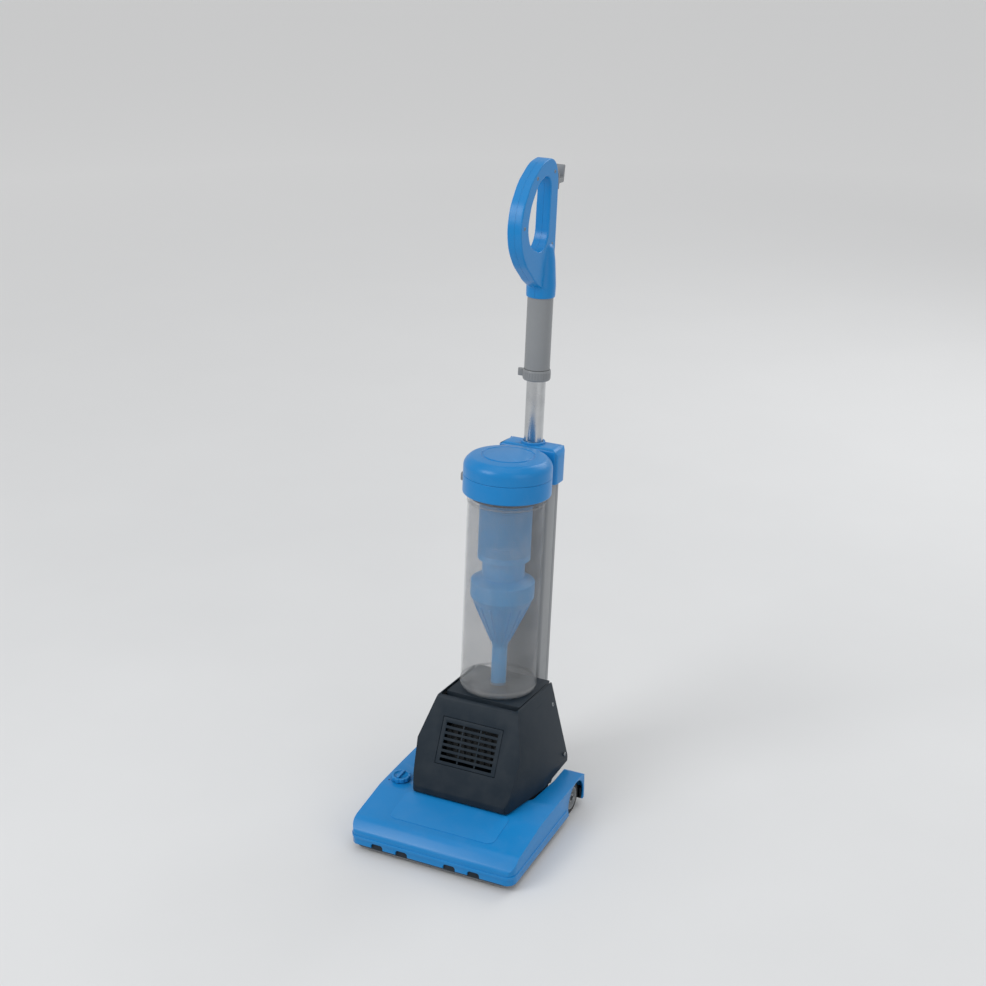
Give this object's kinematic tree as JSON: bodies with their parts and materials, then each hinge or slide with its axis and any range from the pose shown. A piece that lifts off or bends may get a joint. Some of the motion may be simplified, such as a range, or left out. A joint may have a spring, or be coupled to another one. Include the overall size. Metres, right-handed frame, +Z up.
{
  "type": "upright vacuum cleaner",
  "caption": "Commercial bagless upright vacuum cleaner with wide floor head, clear cyclone bin, dark motor hood and loop handle on a telescopic tube.",
  "frame": {"origin": "bottom centre of the bounding box, on the floor", "axes": "+Z up from the floor, -Y towards the front of the floor head, +X to the user's right when standing behind"},
  "size_m": [0.3, 0.494, 1.0916],
  "materials": {
    "blue_plastic": "satin moulded blue",
    "dark_plastic": "fine matte texture, near black navy",
    "grey_plastic": "satin grey",
    "clear_plastic": "clear smoky moulded plastic",
    "bright_metal": "bright plated tube",
    "aluminium": "pressed and cast",
    "steel": "plain",
    "rubber": "matte",
    "foam": "open foam and pleated filter",
    "bristle": "stiff nylon"
  },
  "bodies": {
    "floor_head": {"chassis": "dark_plastic", "sole_plate": "steel", "head_cover": "blue_plastic", "head_duct": "dark_plastic", "drive_belt": "rubber", "carriage_rod": "steel", "pedal_rod": "steel", "pedal_spring": "steel", "pivot_bracket_left": "grey_plastic", "pivot_bracket_right": "grey_plastic", "wheel_axle_left": "steel", "wheel_axle_right": "steel", "brush_bearing_left": "grey_plastic", "brush_bearing_right": "grey_plastic"},
    "brush": {"brush_roll": "bristle"},
    "roller_carriage": {"height_carriage": "grey_plastic", "roller_axle": "steel"},
    "roller_left": {"front_roller_left": "rubber"},
    "roller_right": {"front_roller_right": "rubber"},
    "knob": {"height_knob": "blue_plastic"},
    "pedal": {"release_pedal": "dark_plastic"},
    "wheel_left": {"wheel_tyre_left": "rubber", "wheel_hub_left": "grey_plastic"},
    "wheel_right": {"wheel_tyre_right": "rubber", "wheel_hub_right": "grey_plastic"},
    "upright": {"motor_housing": "dark_plastic", "trunnion_left": "grey_plastic", "trunnion_right": "grey_plastic", "motor_hood": "dark_plastic", "exhaust_grille": "dark_plastic", "exhaust_filter": "foam", "motor_can": "steel", "fan_housing": "aluminium", "motor_mount": "rubber", "fan_mount": "rubber", "riser_elbow": "rubber", "spine_housing": "grey_plastic", "spine_cover": "grey_plastic", "dirty_duct": "dark_plastic", "clean_duct": "dark_plastic", "rear_cap": "blue_plastic", "lower_tube": "bright_metal", "cord_hook_lower": "grey_plastic"},
    "motor_shaft": {"motor_rotor": "steel", "fan_impeller": "aluminium"},
    "bin": {"bin_cup": "clear_plastic", "bin_gasket": "rubber"},
    "separator": {"cap_ring": "blue_plastic", "cyclone_shroud": "blue_plastic", "cyclone_cone": "blue_plastic", "foam_filter": "foam"},
    "lid": {"bin_lid": "blue_plastic"},
    "button": {"bin_button": "grey_plastic"},
    "handle": {"handle_sleeve": "grey_plastic", "handle_left": "blue_plastic", "handle_right": "blue_plastic", "cord_gland": "rubber"},
    "collar": {"lock_collar": "grey_plastic"},
    "switch": {"power_switch": "dark_plastic"},
    "hook": {"cord_hook_upper": "grey_plastic"}
  },
  "joints": [
    {"name": "recline", "type": "hinge", "parent": "floor_head", "child": "upright", "pos_m": [0, 0.0025, 0.064], "axis": [-1, 0, 0], "range_deg": [0, 62]},
    {"name": "motor_spin", "type": "hinge", "parent": "upright", "child": "motor_shaft", "pos_m": [0, 0.0025, 0.064], "axis": [1, 0, 0], "continuous": true},
    {"name": "brush_spin", "type": "hinge", "parent": "floor_head", "child": "brush", "pos_m": [0, -0.2035, 0.028], "axis": [1, 0, 0], "continuous": true},
    {"name": "knob_turn", "type": "hinge", "parent": "floor_head", "child": "knob", "pos_m": [-0.124, -0.1095, 0.06], "axis": [0, 0, 1], "range_deg": [0, 120]},
    {"name": "carriage_swing", "type": "hinge", "parent": "floor_head", "child": "roller_carriage", "pos_m": [0, -0.0775, 0.021], "axis": [-1, 0, 0], "range_deg": [0, 5.4]},
    {"name": "roller_left_spin", "type": "hinge", "parent": "roller_carriage", "child": "roller_left", "pos_m": [-0.052, -0.1255, 0.011], "axis": [1, 0, 0], "continuous": true},
    {"name": "roller_right_spin", "type": "hinge", "parent": "roller_carriage", "child": "roller_right", "pos_m": [0.052, -0.1255, 0.011], "axis": [1, 0, 0], "continuous": true},
    {"name": "wheel_left_spin", "type": "hinge", "parent": "floor_head", "child": "wheel_left", "pos_m": [-0.132, 0.0145, 0.028], "axis": [1, 0, 0], "continuous": true},
    {"name": "wheel_right_spin", "type": "hinge", "parent": "floor_head", "child": "wheel_right", "pos_m": [0.132, 0.0145, 0.028], "axis": [1, 0, 0], "continuous": true},
    {"name": "pedal_press", "type": "hinge", "parent": "floor_head", "child": "pedal", "pos_m": [-0.133, 0.0525, 0.046], "axis": [-1, 0, 0], "range_deg": [0, 12], "stiffness_Nm_per_rad": 0.6, "springref_deg": -5.73},
    {"name": "bin_out", "type": "slide", "parent": "upright", "child": "bin", "axis": [0, -0.9954, 0.0958], "range_m": [0, 0.16]},
    {"name": "separator_lift", "type": "slide", "parent": "bin", "child": "separator", "axis": [0, 0.0958, 0.9954], "range_m": [0, 0.12]},
    {"name": "lid_lift", "type": "slide", "parent": "separator", "child": "lid", "axis": [0, 0.0958, 0.9954], "range_m": [0, 0.04]},
    {"name": "button_press", "type": "slide", "parent": "separator", "child": "button", "axis": [1, 0, 0], "range_m": [0, 0.003], "stiffness_N_per_m": 400, "springref_m": -0.002},
    {"name": "telescope", "type": "slide", "parent": "upright", "child": "handle", "axis": [0, 0.0958, 0.9954], "range_m": [-0.1, 0]},
    {"name": "collar_turn", "type": "hinge", "parent": "handle", "child": "collar", "pos_m": [0, 0.16632, 0.73238], "axis": [0, -0.0958, -0.9954], "range_deg": [0, 80]},
    {"name": "switch_rock", "type": "hinge", "parent": "handle", "child": "switch", "pos_m": [0, 0.20197, 0.9148], "axis": [1, 0, 0], "range_deg": [-5, 5]},
    {"name": "hook_swivel", "type": "hinge", "parent": "handle", "child": "hook", "pos_m": [0, 0.21979, 1.0477], "axis": [0, 0.9954, -0.0958], "range_deg": [0, 180]}
  ],
  "couplings": [
    {"joint": "brush_spin", "follows": "motor_spin", "ratio": 0.5},
    {"joint": "carriage_swing", "follows": "knob_turn", "ratio": 0.045}
  ]
}
